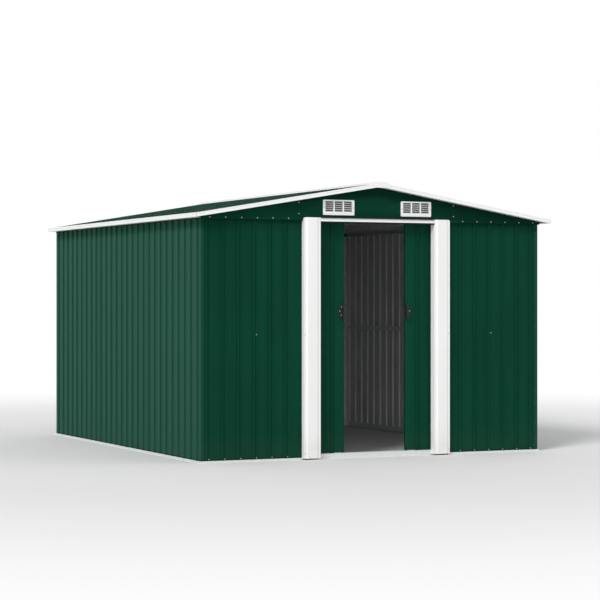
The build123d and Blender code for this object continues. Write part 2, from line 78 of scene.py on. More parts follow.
class Board:
    """Wires the nodes of one material, world or node group."""

    # Places of the factor, the two colours and the result on a Mix node that mixes colours
    MIX_INPUTS: ClassVar[tuple[int, ...]] = (0, 6, 7)
    MIX_RESULT: ClassVar[int] = 2

    def __init__(self, tree: bpy.types.NodeTree) -> None:
        """Take the node tree to wire."""
        self.tree = tree

    def add(self, kind: str, **settings: object) -> bpy.types.Node:
        """Add a node.

        Args:
            kind: The node's type name.
            settings: Properties to set on it.

        Returns:
            The new node.
        """
        node = self.tree.nodes.new(kind)
        for name, value in settings.items():
            setattr(node, name, value)
        return node

    def feed(self, socket: Socket, value: object) -> None:
        """Link a socket to another, or set its value.

        Args:
            socket: The input to feed.
            value: An output socket, a number, or a row of numbers.
        """
        if isinstance(value, Socket):
            self.tree.links.new(value, socket)
        elif socket.type == "RGBA" and len(value) == 3:
            socket.default_value = (*value, 1.0)
        else:
            socket.default_value = value

    def fill(self, node: bpy.types.Node, **values: object) -> bpy.types.Node:
        """Feed inputs of a node by their names.

        Args:
            node: The node.
            values: What feeds each input.

        Returns:
            The same node.
        """
        for label, value in values.items():
            self.feed(node.inputs[label], value)
        return node

    def combine(self, kind: str, values: Sequence[object], **settings: object) -> Sockets:
        """Add a node and feed its first inputs.

        Args:
            kind: The node's type name.
            values: What feeds its inputs, in order.
            settings: Properties to set on it.

        Returns:
            The node's outputs.
        """
        node = self.add(kind, **settings)
        for socket, value in zip(node.inputs, values):
            self.feed(socket, value)
        return node.outputs

    def math(self, operation: str, *values: object, clamp: bool = False) -> Socket:
        """Combine numbers by an operation of the Math node."""
        return self.combine("ShaderNodeMath", values, operation=operation, use_clamp=clamp)[0]

    def plus(self, first: object, second: object) -> Socket:
        """Add two numbers."""
        return self.math("ADD", first, second)

    def minus(self, first: object, second: object) -> Socket:
        """Take the second number from the first."""
        return self.math("SUBTRACT", first, second)

    def times(self, first: object, second: object) -> Socket:
        """Multiply two numbers."""
        return self.math("MULTIPLY", first, second)

    def vector(self, operation: str, *values: object) -> Socket:
        """Combine vectors into a vector."""
        return self.combine("ShaderNodeVectorMath", values, operation=operation)[0]

    def measure(self, operation: str, *values: object) -> Socket:
        """Combine vectors into a number."""
        return self.combine("ShaderNodeVectorMath", values, operation=operation)[1]

    def parts(self, vector: object) -> Sockets:
        """Split a vector into its three numbers."""
        return self.combine("ShaderNodeSeparateXYZ", (vector,))

    def mix(self, factor: object, low: object, high: object) -> Socket:
        """Blend two colours.

        Args:
            factor: How much of the second colour.
            low: The first colour.
            high: The second colour.

        Returns:
            The blended colour's socket.
        """
        node = self.add("ShaderNodeMix", data_type="RGBA")
        for index, value in zip(self.MIX_INPUTS, (factor, low, high)):
            self.feed(node.inputs[index], value)
        return node.outputs[self.MIX_RESULT]

    def spread(self, value: object, low: float, high: float, to_low: float = 0.0,
               to_high: float = 1.0) -> Socket:
        """Map one range smoothly onto another.

        Args:
            value: The number to map.
            low: Start of its range.
            high: End of its range.
            to_low: What the start becomes.
            to_high: What the end becomes.

        Returns:
            The mapped number's socket.
        """
        ranges = (value, low, high, to_low, to_high)
        return self.combine("ShaderNodeMapRange", ranges, interpolation_type="SMOOTHSTEP")[0]

    def stretched(self, vector: object, scale: object) -> Socket:
        """Scale coordinates by one factor for each axis."""
        return self.fill(self.add("ShaderNodeMapping"), Vector=vector, Scale=scale).outputs[0]

    def noise(self, vector: object, scale: object, detail: float = 2.0,
              roughness: float = 0.5) -> Socket:
        """Add soft noise.

        Args:
            vector: The coordinates.
            scale: Waves to a metre.
            detail: Finer layers added.
            roughness: How strong those are.

        Returns:
            The noise value's socket.
        """
        node = self.add("ShaderNodeTexNoise")
        self.fill(node, Vector=vector, Scale=scale, Detail=detail, Roughness=roughness)
        return node.outputs[0]


def emptied(owner: bpy.types.ID) -> bpy.types.NodeTree:
    """Turn on the nodes of a material or a world and take them all out.

    Args:
        owner: The material or the world.

    Returns:
        Its empty node tree.
    """
    owner.use_nodes = True
    owner.node_tree.nodes.clear()
    return owner.node_tree


class Effects:
    """Shared effects, each a shader node group made once."""

    made: ClassVar[dict[str, bpy.types.NodeTree]] = {}

    # Shares of a face's normal: under the first it looks inwards, over the second it is flat,
    # and under the third it is a fold
    INWARD: ClassVar[float] = -0.2
    FLAT: ClassVar[float] = 0.95
    FOLDED: ClassVar[float] = 0.72

    # Heights between which the painted shade line at the foot fades out, and the least height of a
    # strip
    FOOT_SHADE_LINE: ClassVar[tuple[float, float]] = (0.024, 0.019)
    LEAST_REACH: ClassVar[float] = 0.02

    @classmethod
    def start(cls, name: str, vectors: Sequence[str], numbers: Sequence[str],
              results: Sequence[str]) -> tuple[Board, Sockets, Sockets]:
        """Open a new node group.

        Args:
            name: The group's name.
            vectors: Names of the vectors that it takes.
            numbers: Names of the numbers that it takes.
            results: Names of the numbers that it gives.

        Returns:
            The group's board, the sockets that bring its inputs and those that take its results.
        """
        tree = bpy.data.node_groups.new(name, "ShaderNodeTree")
        for labels, side, kind in ((vectors, "INPUT", "NodeSocketVector"),
                                   (numbers, "INPUT", "NodeSocketFloat"),
                                   (results, "OUTPUT", "NodeSocketFloat")):
            for label in labels:
                tree.interface.new_socket(name=label, in_out=side, socket_type=kind)
        cls.made[name] = tree
        board = Board(tree)
        return board, board.add("NodeGroupInput").outputs, board.add("NodeGroupOutput").inputs

    @classmethod
    def place(cls, board: Board, name: str) -> bpy.types.Node:
        """Place a shared effect on a board.

        Args:
            board: The board of a material.
            name: The effect's name, which is also that of the method that makes it.

        Returns:
            The group's node.
        """
        if name not in cls.made:
            getattr(cls, name)()
        return board.add("ShaderNodeGroup", node_tree=cls.made[name])

    @classmethod
    def outward(cls) -> None:
        """Mask that is 0 on faces that look towards the middle of the shed, or of a leaf."""
        board, taken, given = cls.start(
            "outward", ("Vector", "Normal", "Axis", "Middle"), (), ("Mask",))
        reach = board.vector("ABSOLUTE", taken["Vector"])
        beyond = board.vector("SIGN", board.vector("SUBTRACT", reach, taken["Middle"]))
        side = board.vector("MULTIPLY", board.vector("SIGN", taken["Vector"]), beyond)
        weighted = board.vector("MULTIPLY", side, taken["Axis"])
        facing = board.measure("DOT_PRODUCT", weighted, taken["Normal"])
        board.feed(given["Mask"], board.math("GREATER_THAN", facing, cls.INWARD))

    @classmethod
    def flanks(cls) -> None:
        """Mask that is 1 on the sloping sides of ribs and on folds, and 0 on the flats."""
        board, taken, given = cls.start("flanks", ("Normal", "Axis"), (), ("Mask",))
        upright = board.vector("ABSOLUTE", taken["Normal"])
        level = board.measure("DOT_PRODUCT", upright, taken["Axis"])
        board.feed(given["Mask"], board.spread(level, cls.FLAT, cls.FOLDED))

    @classmethod
    def rolled(cls) -> None:
        """Slow colour variation and faint streaks along a rolled sheet."""
        board, taken, given = cls.start("rolled", ("Vector", "Stretch"), (), ("Tone",))
        along = board.stretched(taken["Vector"], taken["Stretch"])
        streak = board.noise(along, 1.0, detail=4.0, roughness=0.6)
        cloud = board.noise(taken["Vector"], 1.7, detail=3.0, roughness=0.55)
        both = board.plus(board.times(streak, 0.55), board.times(cloud, 0.45))
        board.feed(given["Tone"], board.spread(both, 0.3, 0.7))

    @classmethod
    def coat_skin(cls) -> None:
        """Height of a coil coating: fine orange peel over slow waves of thin sheet."""
        board, taken, given = cls.start("coat_skin", ("Vector",), ("Waves",), ("Height",))
        peel = board.times(board.noise(taken["Vector"], 420.0), 0.02)
        slow = board.noise(taken["Vector"], 3.2, detail=1.0, roughness=0.4)
        board.feed(given["Height"], board.plus(peel, board.times(slow, taken["Waves"])))

    @classmethod
    def splash(cls) -> None:
        """Mask of dust that fades upwards from the ground, and of the painted shade line at the
        foot.
        """
        board, taken, given = cls.start("splash", ("Vector",), ("Reach",), ("Mask", "Line"))
        height = board.parts(taken["Vector"])[2]
        ragged = board.times(board.noise(taken["Vector"], 14.0, detail=4.0, roughness=0.6), 0.16)
        share = board.math("DIVIDE", board.minus(height, ragged), taken["Reach"])
        fade = board.math("SUBTRACT", 1.0, share, clamp=True)
        fine = board.noise(taken["Vector"], 160.0, detail=3.0, roughness=0.7)
        grain = board.plus(0.35, board.times(board.spread(fine, 0.45, 0.7), 0.65))
        board.feed(given["Mask"], board.math("MULTIPLY", fade, grain, clamp=True))
        board.feed(given["Line"], board.spread(height, *cls.FOOT_SHADE_LINE))

    @classmethod
    def spangle(cls) -> None:
        """Zinc crystals: a tone for each and a little height between them."""
        board, taken, given = cls.start("spangle", ("Vector",), ("Scale",), ("Tone", "Height"))
        cells = board.add("ShaderNodeTexVoronoi", feature="F1")
        board.fill(cells, Vector=taken["Vector"], Scale=taken["Scale"])
        crystal = board.combine("ShaderNodeSeparateColor", (cells.outputs["Color"],))
        cloud = board.noise(taken["Vector"], 9.0, detail=3.0)
        tone = board.plus(board.times(crystal["Red"], 0.6), board.times(cloud, 0.4))
        board.feed(given["Tone"], tone)
        board.feed(given["Height"], crystal["Green"])

    @classmethod
    def woven(cls) -> None:
        """Height of a fine wire mesh."""
        board, taken, given = cls.start("woven", ("Vector",), ("Pitch",), ("Height",))
        across, _, up = board.parts(taken["Vector"])
        turn = board.math("DIVIDE", math.tau, taken["Pitch"])
        wires = [board.math("SINE", board.times(place, turn)) for place in (across, up)]
        board.feed(given["Height"], board.spread(board.math("MAXIMUM", *wires), 0.2, 0.9))

    @classmethod
    def shaded_under_roof(cls) -> None:
        """Mask of the painted shade strip under the slopes of the roof's edge, where the roof's
        shadow falls.
        """
        board, taken, given = cls.start(
            "shaded_under_roof", ("Vector",), ("Peak", "Slope", "Reach", "Lean"), ("Mask",))
        across, _, up = board.parts(taken["Vector"])
        fall = board.times(board.math("ABSOLUTE", across), taken["Slope"])
        depth = board.minus(board.minus(taken["Peak"], fall), up)
        reach = board.plus(taken["Reach"], board.times(across, taken["Lean"]))
        share = board.math("DIVIDE", depth, board.math("MAXIMUM", reach, cls.LEAST_REACH))
        board.feed(given["Mask"], board.spread(share, 0.7, 1.1, 1.0, 0.0))

    @classmethod
    def settled_dust_and_shade(cls) -> None:
        """Mask of dust that settles on faces that look up, heavy enough to also paint the shade of
        the louvres.
        """
        board, taken, given = cls.start("settled_dust_and_shade", ("Vector", "Normal"), (), ("Mask",))
        fine = board.noise(taken["Vector"], 90.0, detail=3.0, roughness=0.6)
        upward = board.spread(board.parts(taken["Normal"])[2], 0.2, 0.8)
        board.feed(given["Mask"], board.times(upward, board.spread(fine, 0.2, 0.8, 0.75, 1.0)))

    @classmethod
    def moulded(cls) -> None:
        """Fine grain and slow tone of a moulded or plated surface."""
        board, taken, given = cls.start("moulded", ("Vector",), ("Scale",), ("Height", "Tone"))
        board.feed(given["Height"], board.noise(taken["Vector"], taken["Scale"], roughness=0.6))
        board.feed(given["Tone"], board.noise(taken["Vector"], 22.0, detail=3.0))


class Surface(Board):
    """One material, with its shader, coordinates and output already placed."""

    def __init__(self, name: str, metallic: float = 0.0, sheen: float = 0.5) -> None:
        """Make the material.

        Args:
            name: The material's name.
            metallic: The shader's metallic value.
            sheen: The shader's specular level.
        """
        self.material = bpy.data.materials.new(name)
        super().__init__(emptied(self.material))
        self.shader = self.add("ShaderNodeBsdfPrincipled")
        self.fill(self.shader, **{"Metallic": metallic, "Specular IOR Level": sheen})
        self.combine("ShaderNodeOutputMaterial", (self.shader.outputs[0],))
        places = self.add("ShaderNodeTexCoord").outputs
        self.given = {"Vector": places["Object"], "Normal": places["Normal"]}

    def effect(self, name: str, **values: object) -> Sockets:
        """Place a shared effect and give it the coordinates and normals that it takes.

        Args:
            name: The effect's name.
            values: What feeds its other inputs, by name.

        Returns:
            The effect's outputs.
        """
        node = self.fill(Effects.place(self, name), **values)
        for label, socket in self.given.items():
            if label in node.inputs:
                self.feed(node.inputs[label], socket)
        return node.outputs

    def colour(self, factor: object, low: object, high: object) -> None:
        """Feed the base colour from a blend of two colours."""
        self.feed(self.shader.inputs["Base Color"], self.mix(factor, low, high))

    def roughness(self, value: object, low: float, high: float, smooth: float,
                  rough: float) -> None:
        """Feed the roughness from a number that changes over the surface.

        Args:
            value: The number's socket.
            low: Start of its range.
            high: End of its range.
            smooth: The roughness at the start.
            rough: The roughness at the end.
        """
        self.feed(self.shader.inputs["Roughness"], self.spread(value, low, high, smooth, rough))

    def bump(self, height: object, strength: float, distance: float) -> None:
        """Feed the normal from a height.

        Args:
            height: The height's socket.
            strength: How much of it shows.
            distance: How tall a height of 1 is, in metres.
        """
        node = self.fill(self.add("ShaderNodeBump"), Strength=strength, Distance=distance,
                         Height=height)
        self.feed(self.shader.inputs["Normal"], node.outputs[0])


# Finishes


class Facing(Enum):
    """Which way the outer face of a sheet looks, as a weight for each axis."""

    SIDES = (1.0, 0.0, 0.0)
    ENDS = (0.0, 1.0, 0.0)
    UP = (0.0, 0.0, 1.0)
    LEAF = (0.5, 1.0, 0.0)

    @property
    def flat(self) -> Point:
        """The axis that the flat parts of the sheet look along."""
        return tuple(float(weight == 1.0) for weight in self.value)


class Roll(Enum):
    """Which way a sheet was rolled, as waves to a metre along each axis."""

    UPRIGHT = (26.0, 26.0, 0.5)
    DOWN_SLOPE = (0.5, 26.0, 0.5)
    FLAT = (2.0, 2.0, 22.0)


@dataclass(frozen=True)
class RoofShade:
    """Painted shade: a darker strip under the edge of the roof, standing in for the roof's shadow.

    Attributes:
        share: How strongly the strip differs from the rest of the sheet.
        peak: Height of the strip's upper edge in the middle.
        slope: Fall of that edge towards the sides.
        reach: Height of the strip in the middle.
        lean: Growth of its height towards +X.
        coat: The colour of the painted shade.
    """

    share: float
    peak: float
    slope: float = 0.0
    reach: float = 0.095
    lean: float = 0.0
    coat: Colour = (0.0020, 0.0300, 0.0170)

    def mask(self, surface: Surface) -> Socket:
        """Place the strip's mask in a material.

        Args:
            surface: The material.

        Returns:
            The mask's socket.
        """
        strip = surface.effect("shaded_under_roof", Peak=self.peak, Slope=self.slope, Reach=self.reach,
                               Lean=self.lean)
        return surface.times(strip["Mask"], self.share)


@dataclass(frozen=True)
class GableShade:
    """Painted shade on a coat above a height, where the gable shades the top of the header.

    Attributes:
        start: Height where it starts.
        full: Height from which it is full.
        tint: Colour of the painted shade.
    """

    start: float
    full: float
    tint: Colour = (0.500, 0.560, 0.530)

    def mask(self, surface: Surface) -> Socket:
        """Place the painted shade's mask in a material.

        Args:
            surface: The material.

        Returns:
            The mask's socket.
        """
        height = surface.parts(surface.given["Vector"])[2]
        return surface.spread(height, self.start, self.full)


@dataclass(frozen=True)
class CoatedSheet:
    """Dark green coil coating outside, grey backing coat inside.

    Attributes:
        deep, bright: Ends of the green's range on the flats.
        flank_shade: Green of the ribs' sides and the folds, darker than the flats: painted shade.
        foot: Colour of the painted shade line at the sheet's foot.
        middle: Place along X of a leaf's middle, or 0 on the shed itself.
        shade: Share of the green's full brightness; below 1 it paints shade over the whole sheet.
        waves: How wavy the thin sheet is.
    """

    name: str
    facing: Facing
    roll: Roll
    deep: Colour = (0.0030, 0.0400, 0.0222)
    bright: Colour = (0.0045, 0.0515, 0.0292)
    flank_shade: Colour = (0.0027, 0.0365, 0.0202)
    foot: Colour = (0.0020, 0.0150, 0.0100)
    foot_shade_share: float = 0.8
    backing_dark: Colour = (0.60, 0.61, 0.61)
    backing_light: Colour = (0.68, 0.69, 0.69)
    # Lighter folds of the backing coat: painted light from the doorway on the inner ribs' sides
    backing_fold_highlight: Colour = (0.96, 0.96, 0.95)
    dust: Colour = (0.150, 0.135, 0.105)
    dust_share: float = 0.05
    dust_reach: float = 0.11
    gloss_low: float = 0.36
    gloss_high: float = 0.50
    sheen: float = 0.03
    middle: float = 0.0
    shade: float = 1.0
    roof_shade: RoofShade | None = None
    waves: float = 1.0

    def build(self) -> bpy.types.Material:
        """Make the material.

        Returns:
            The finished material.
        """
        surface = Surface(self.name, sheen=self.sheen)
        tone = surface.effect("rolled", Stretch=self.roll.value)["Tone"]
        folds = surface.effect("flanks", Axis=self.facing.flat)["Mask"]
        # A shade below 1 darkens the green as painted shade
        deep, bright = (tuple(self.shade * part for part in green)
                        for green in (self.deep, self.bright))
        # Painted shade: the ribs' sides and the folds take a darker green than the flats
        front = surface.mix(folds, surface.mix(tone, deep, bright), self.flank_shade)
        # Painted shade: the strip under the roof's edge is darkened as if in the roof's shadow
        if self.roof_shade:
            front = surface.mix(self.roof_shade.mask(surface), front, self.roof_shade.coat)
        backing = surface.mix(tone, self.backing_dark, self.backing_light)
        # Painted light on the folds of the backing coat inside
        backing = surface.mix(folds, backing, self.backing_fold_highlight)
        outside = surface.effect("outward", Axis=self.facing.value, Middle=(self.middle, 0.0, 0.0))
        coat = surface.mix(outside["Mask"], backing, front)
        dirt, line = surface.effect("splash", Reach=self.dust_reach)
        # Painted shade: a dark line along the sheet's foot
        coat = surface.mix(surface.times(line, self.foot_shade_share), coat, self.foot)
        surface.colour(surface.times(dirt, self.dust_share), coat, self.dust)
        surface.roughness(surface.plus(tone, dirt), 0.0, 1.6, self.gloss_low, self.gloss_high)
        skin = surface.effect("coat_skin", Waves=self.waves)["Height"]
        surface.bump(skin, strength=0.35, distance=2 * MM)
        return surface.material


@dataclass(frozen=True)
class WhiteCoat:
    """White coil coating of the trims, with a trace of dirt in it.

    Attributes:
        clean, grimy: Ends of the coat's range.
        side_highlight: Colour of faces that look sideways, if it differs: a painted highlight on
            the sides.
        waves: How wavy the sheet is.
    """

    name: str
    clean: Colour = (0.835, 0.832, 0.822)
    grimy: Colour = (0.765, 0.760, 0.745)
    grimy_share: float = 0.6
    dust: Colour = (0.420, 0.380, 0.310)
    dust_share: float = 0.32
    dust_reach: float = 0.10
    gloss_low: float = 0.33
    gloss_high: float = 0.44
    side_highlight: Colour | None = None
    gable_shade: GableShade | None = None
    waves: float = 0.35

    def build(self) -> bpy.types.Material:
        """Make the material.

        Returns:
            The finished material.
        """
        surface = Surface(self.name)
        tone = surface.effect("rolled", Stretch=Roll.UPRIGHT.value)["Tone"]
        coat = surface.mix(surface.times(tone, self.grimy_share), self.clean, self.grimy)
        # Painted highlight: faces that look sideways are made lighter
        if self.side_highlight:
            sides = surface.effect("flanks", Axis=(0.0, 1.0, 1.0))["Mask"]
            coat = surface.mix(sides, coat, self.side_highlight)
        # Painted shade along the header's top, under the gable
        if self.gable_shade:
            coat = surface.mix(self.gable_shade.mask(surface), coat, self.gable_shade.tint)
        dirt = surface.effect("splash", Reach=self.dust_reach)["Mask"]
        surface.colour(surface.times(dirt, self.dust_share), coat, self.dust)
        surface.roughness(tone, 0.0, 1.0, self.gloss_low, self.gloss_high)
        skin = surface.effect("coat_skin", Waves=self.waves)["Height"]
        surface.bump(skin, strength=0.3, distance=2 * MM)
        return surface.material


@dataclass(frozen=True)
class Galvanised:
    """Zinc coated steel of the frame, the rails and the tracks."""

    name: str
    dark: Colour = (0.58, 0.61, 0.59)
    light: Colour = (0.70, 0.735, 0.715)
    cells: float = 110.0
    metallic: float = 0.2
    gloss_low: float = 0.34
    gloss_high: float = 0.52

    def build(self) -> bpy.types.Material:
        """Make the material.

        Returns:
            The finished material.
        """
        surface = Surface(self.name, self.metallic)
        tone, height = surface.effect("spangle", Scale=self.cells)
        surface.colour(tone, self.dark, self.light)
        surface.roughness(tone, 0.1, 0.9, self.gloss_low, self.gloss_high)
        surface.bump(height, strength=0.15, distance=0.4 * MM)
        return surface.material


@dataclass(frozen=True)
class Moulded:
    """Moulded plastic of the vents, handles and gliders, and the rubber of the seals."""

    name: str
    dark: Colour
    light: Colour
    sheen: float = 0.5
    dust: Colour = (0.20, 0.21, 0.22)
    dust_share: float = 0.0
    grain: float = 900.0
    gloss_low: float = 0.42
    gloss_high: float = 0.58

    def build(self) -> bpy.types.Material:
        """Make the material.

        Returns:
            The finished material.
        """
        surface = Surface(self.name, sheen=self.sheen)
        height, tone = surface.effect("moulded", Scale=self.grain)
        # Dust on faces that look up; on the vents it is heavy and also paints the shade between
        # the louvres
        if self.dust_share:
            dust = surface.times(surface.effect("settled_dust_and_shade")["Mask"], self.dust_share)
            surface.colour(dust, surface.mix(tone, self.dark, self.light), self.dust)
        else:
            surface.colour(tone, self.dark, self.light)
        surface.roughness(tone, 0.2, 0.8, self.gloss_low, self.gloss_high)
        surface.bump(height, strength=0.2, distance=0.3 * MM)
        return surface.material


@dataclass(frozen=True)
class Plated:
    """Plated or painted steel of the screws and bolts."""

    name: str
    dark: Colour
    light: Colour
    metallic: float = 0.85
    grain: float = 350.0
    gloss_low: float = 0.24
    gloss_high: float = 0.40

    def build(self) -> bpy.types.Material:
        """Make the material.

        Returns:
            The finished material.
        """
        surface = Surface(self.name, self.metallic)
        height, tone = surface.effect("moulded", Scale=self.grain)
        surface.colour(height, self.dark, self.light)
        surface.roughness(tone, 0.2, 0.8, self.gloss_low, self.gloss_high)
        return surface.material


@dataclass(frozen=True)
class WireMesh:
    """Fine dark mesh of the screens behind the vents, with near-black gaps between the wires that
    paint the shade inside.
    """

    name: str
    wire: Colour = (0.115, 0.120, 0.135)
    # Near-black gaps: painted shade of the inside seen through the mesh
    shaded_holes: Colour = (0.012, 0.013, 0.016)
    pitch: float = 0.0016
    sheen: float = 0.2
    gloss_wire: float = 0.45
    gloss_holes: float = 0.70

    def build(self) -> bpy.types.Material:
        """Make the material.

        Returns:
            The finished material.
        """
        surface = Surface(self.name, sheen=self.sheen)
        height = surface.effect("woven", Pitch=self.pitch)["Height"]
        surface.colour(height, self.shaded_holes, self.wire)
        surface.roughness(height, 0.0, 1.0, self.gloss_holes, self.gloss_wire)
        surface.bump(height, strength=0.6, distance=0.3 * MM)
        return surface.material


class Finishes:
    """The finishes of the shed, each made once and found by its name."""

    def __init__(self) -> None:
        """Make every finish."""
        recipes = (
            # The side sheet's brighter, greyer green is a lit copy of the end sheet's: painted
            # light and painted sky sheen on the side walls
            CoatedSheet("green_side_sheet", Facing.SIDES, Roll.UPRIGHT,
                        deep=(0.0120, 0.0680, 0.0440), bright=(0.0150, 0.0780, 0.0510),
                        # Darker green on the ribs' sides: painted shade
                        flank_shade=(0.0085, 0.0550, 0.0350), sheen=0.024,
                        # Painted shadow of the eaves along the top of the side walls
                        roof_shade=RoofShade(0.80, 1.556, coat=(0.0005, 0.0500, 0.0240))),
            CoatedSheet("green_end_sheet", Facing.ENDS, Roll.UPRIGHT, sheen=0.015,
                        # Painted shadow along the top of the end walls
                        roof_shade=RoofShade(0.30, 1.548)),
            CoatedSheet("green_roof_sheet", Facing.UP, Roll.DOWN_SLOPE, sheen=0.01),
            # A darker copy of the green: painted shade over the whole gable
            CoatedSheet("green_gable_sheet", Facing.ENDS, Roll.FLAT, sheen=0.01, shade=0.80,
                        # Painted shadow of the rake trims on the gable, deeper towards +X
                        roof_shade=RoofShade(0.6, 1.7685, ROOF_SLOPE, reach=0.085, lean=0.10,
                                        coat=(0.0020, 0.0150, 0.0100))),
            CoatedSheet("green_door_sheet", Facing.LEAF, Roll.UPRIGHT, sheen=0.015,
                        middle=0.4415),
            WhiteCoat("white_trim_coat"),
            # Painted highlight on the sides of the jambs
            WhiteCoat("white_jamb_coat", side_highlight=(0.93, 0.94, 0.93)),
            # Painted shade at the top of the header, under the gable's edge
            WhiteCoat("white_header_coat", gable_shade=GableShade(1.535, 1.546)),
            # A lighter, matt copy of the zinc: painted light, so that the frame shows up light in
            # the shade inside
            Galvanised("galvanised_frame_steel", (0.76, 0.77, 0.78), (0.86, 0.87, 0.88),
                       metallic=0.0),
            Galvanised("galvanised_track_steel"),
            Plated("bright_screws", (0.70, 0.71, 0.72), (0.90, 0.90, 0.89)),
            Plated("weathered_screws", (0.24, 0.25, 0.25), (0.40, 0.40, 0.39)),
            Plated("green_screws", (0.006, 0.052, 0.030), (0.012, 0.075, 0.046), metallic=0.0),
            # Dust on the louvre blades that also paints the shade in the louvres
            Moulded("white_vent_plastic", (0.74, 0.74, 0.73), (0.84, 0.84, 0.83),
                    dust_share=0.75),
            Moulded("black_handle_plastic", (0.010, 0.012, 0.011), (0.020, 0.023, 0.022),
                    sheen=0.25),
            Moulded("grey_glider_plastic", (0.060, 0.062, 0.064), (0.095, 0.097, 0.100)),
            # Near-black rubber of the strips that paint the shadow lines at the header
            Moulded("black_shadow_seal_rubber", (0.006, 0.008, 0.007), (0.014, 0.017, 0.016),
                    sheen=0.1),
            WireMesh("dark_screen_mesh"),
        )
        self.made = {recipe.name: recipe.build() for recipe in recipes}

    def __getitem__(self, name: str) -> bpy.types.Material:
        """Find a finish by its name."""
        return self.made[name]


# Making meshes


def in_scene(name: str, data: bpy.types.ID) -> bpy.types.Object:
    """Make an object of a mesh, a lamp or a camera and link it to the scene.

    Args:
        name: The object's name.
        data: What it shows.

    Returns:
        The new object.
    """
    made = bpy.data.objects.new(name, data)
    bpy.context.scene.collection.objects.link(made)
    return made


class Maker:
    """Makes one new piece from a mesh under construction."""

    SMOOTH_BELOW: ClassVar[float] = math.radians(35.0)

    def __init__(self, name: str, body: str, slot: str, material: bpy.types.Material) -> None:
        """Open an empty mesh.

        Args:
            name: The piece's name.
            body: The body it moves with.
            slot: The record's material slot; not used.
            material: Its material.
        """
        self.name = name
        self.body = body
        self.slot = slot
        self.material = material
        self.mesh = bmesh.new()

    def stamp(self, shape: bmesh.types.BMesh, place: Matrix) -> None:
        """Add a copy of a small shape.

        Args:
            shape: The shape, left as it is.
            place: Where the copy goes.
        """
        loose = bpy.data.meshes.new("stamp")
        shape.to_mesh(loose)
        loose.transform(place)
        self.mesh.from_mesh(loose)
        bpy.data.meshes.remove(loose)

    def take(self, shape: bmesh.types.BMesh) -> None:
        """Add a shape where it lies, and free it."""
        self.stamp(shape, Matrix.Identity(4))
        shape.free()

    def close(self) -> None:
        """Turn the mesh into a piece of the model, smooth over its blunt edges."""
        for face in self.mesh.faces:
            face.smooth = True
        for edge in self.mesh.edges:
            edge.smooth = edge.is_manifold and edge.calc_face_angle(0.0) < self.SMOOTH_BELOW
        data = bpy.data.meshes.new(self.name)
        count = len(self.mesh.faces)
        self.mesh.to_mesh(data)
        self.mesh.free()
        data.materials.append(self.material)
        piece = in_scene(self.name, data)
        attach(piece, self.body)
        LOG.info("piece %s: %d faces, rides on %s", self.name, count, self.body)


def turned_shape(profile: Profile, facets: int) -> bmesh.types.BMesh:
    """Spin a profile round the Z axis.

    Args:
        profile: Radius and height of each point.
        facets: Facets round the axis.

    Returns:
        The closed shape.
    """
    shape = bmesh.new()
    line = [shape.verts.new((radius, 0.0, height)) for radius, height in profile]
    edges = [shape.edges.new(pair) for pair in zip(line, line[1:])]
    bmesh.ops.spin(shape, geom=line + edges, cent=(0, 0, 0), axis=(0, 0, 1), angle=math.tau,
                   steps=facets, use_merge=True)
    bmesh.ops.remove_doubles(shape, verts=shape.verts, dist=1e-6)
    bmesh.ops.recalc_face_normals(shape, faces=shape.faces)
    return shape


def rounded_box(low: Point, high: Point, radius: float) -> bmesh.types.BMesh:
    """Make a box with rounded edges.

    Args:
        low: Lowest corner.
        high: Highest corner.
        radius: Edge radius.

    Returns:
        The shape.
    """
    shape = bmesh.new()
    size = [b - a for a, b in zip(low, high)]
    middle = [(a + b) / 2 for a, b in zip(low, high)]
    place = Matrix.Translation(middle) @ Matrix.Diagonal((*size, 1.0))
    bmesh.ops.create_cube(shape, size=1.0, matrix=place)
    bmesh.ops.bevel(shape, geom=shape.edges, offset=radius, segments=2, affect="EDGES",
                    profile=0.5, material=-1)
    return shape


# Fixings


class Head(Enum):
    """Screw heads, each as the profile in millimetres of a washer with a domed top."""

    SHEET = ((4.6, 0.0), (4.4, 0.6), (3.3, 0.9), (3.2, 1.8), (2.2, 2.6), (0.0, 2.9))
    SMALL = ((3.2, 0.0), (3.1, 0.6), (2.5, 1.3), (1.4, 1.7), (0.0, 1.8))
    BOLT = ((9.0, 0.0), (9.0, 1.4), (6.4, 1.6), (6.2, 4.6), (4.0, 5.6), (0.0, 5.6))

    def shape(self) -> bmesh.types.BMesh:
        """Make one head, standing on the Z plane."""
        return turned_shape([(radius * MM, height * MM) for radius, height in self.value],
                            HEAD_FACETS)


